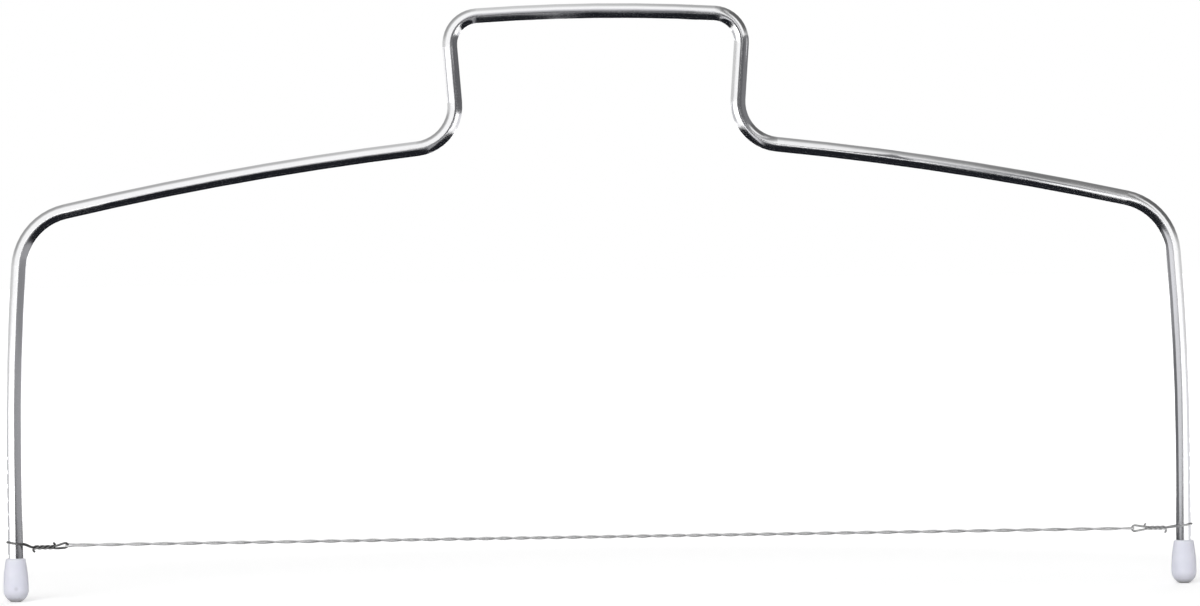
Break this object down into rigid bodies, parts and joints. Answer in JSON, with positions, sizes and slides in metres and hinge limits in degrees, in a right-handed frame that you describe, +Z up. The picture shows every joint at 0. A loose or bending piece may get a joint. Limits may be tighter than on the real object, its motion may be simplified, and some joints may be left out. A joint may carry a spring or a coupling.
{
  "type": "cake leveler",
  "caption": "Bent steel rod frame with a hand grip, plastic feet and a taut cutting wire that hooks into notches up both legs, for slicing a cake level.",
  "frame": {"origin": "on the table under the handle, midway between the two feet", "axes": "+Z up, +X along the cutting wire from the left leg to the right leg, +Y through the frame's thickness"},
  "size_m": [0.32, 0.0068, 0.1576],
  "materials": {
    "polished_rod": "polished stainless steel",
    "foot_plastic": "moulded, soft sheen",
    "hook_steel": "drawn wire, dull",
    "wire_steel": "drawn wire, bright"
  },
  "bodies": {
    "frame": {"frame_rod": "polished_rod", "left_foot": "foot_plastic", "right_foot": "foot_plastic"},
    "wire": {"cutting_wire": "wire_steel", "left_hook": "hook_steel", "right_hook": "hook_steel"}
  },
  "joints": [
    {"name": "wire_height", "type": "slide", "parent": "frame", "child": "wire", "axis": [0, 0, 1], "range_m": [0, 0.02244]}
  ]
}
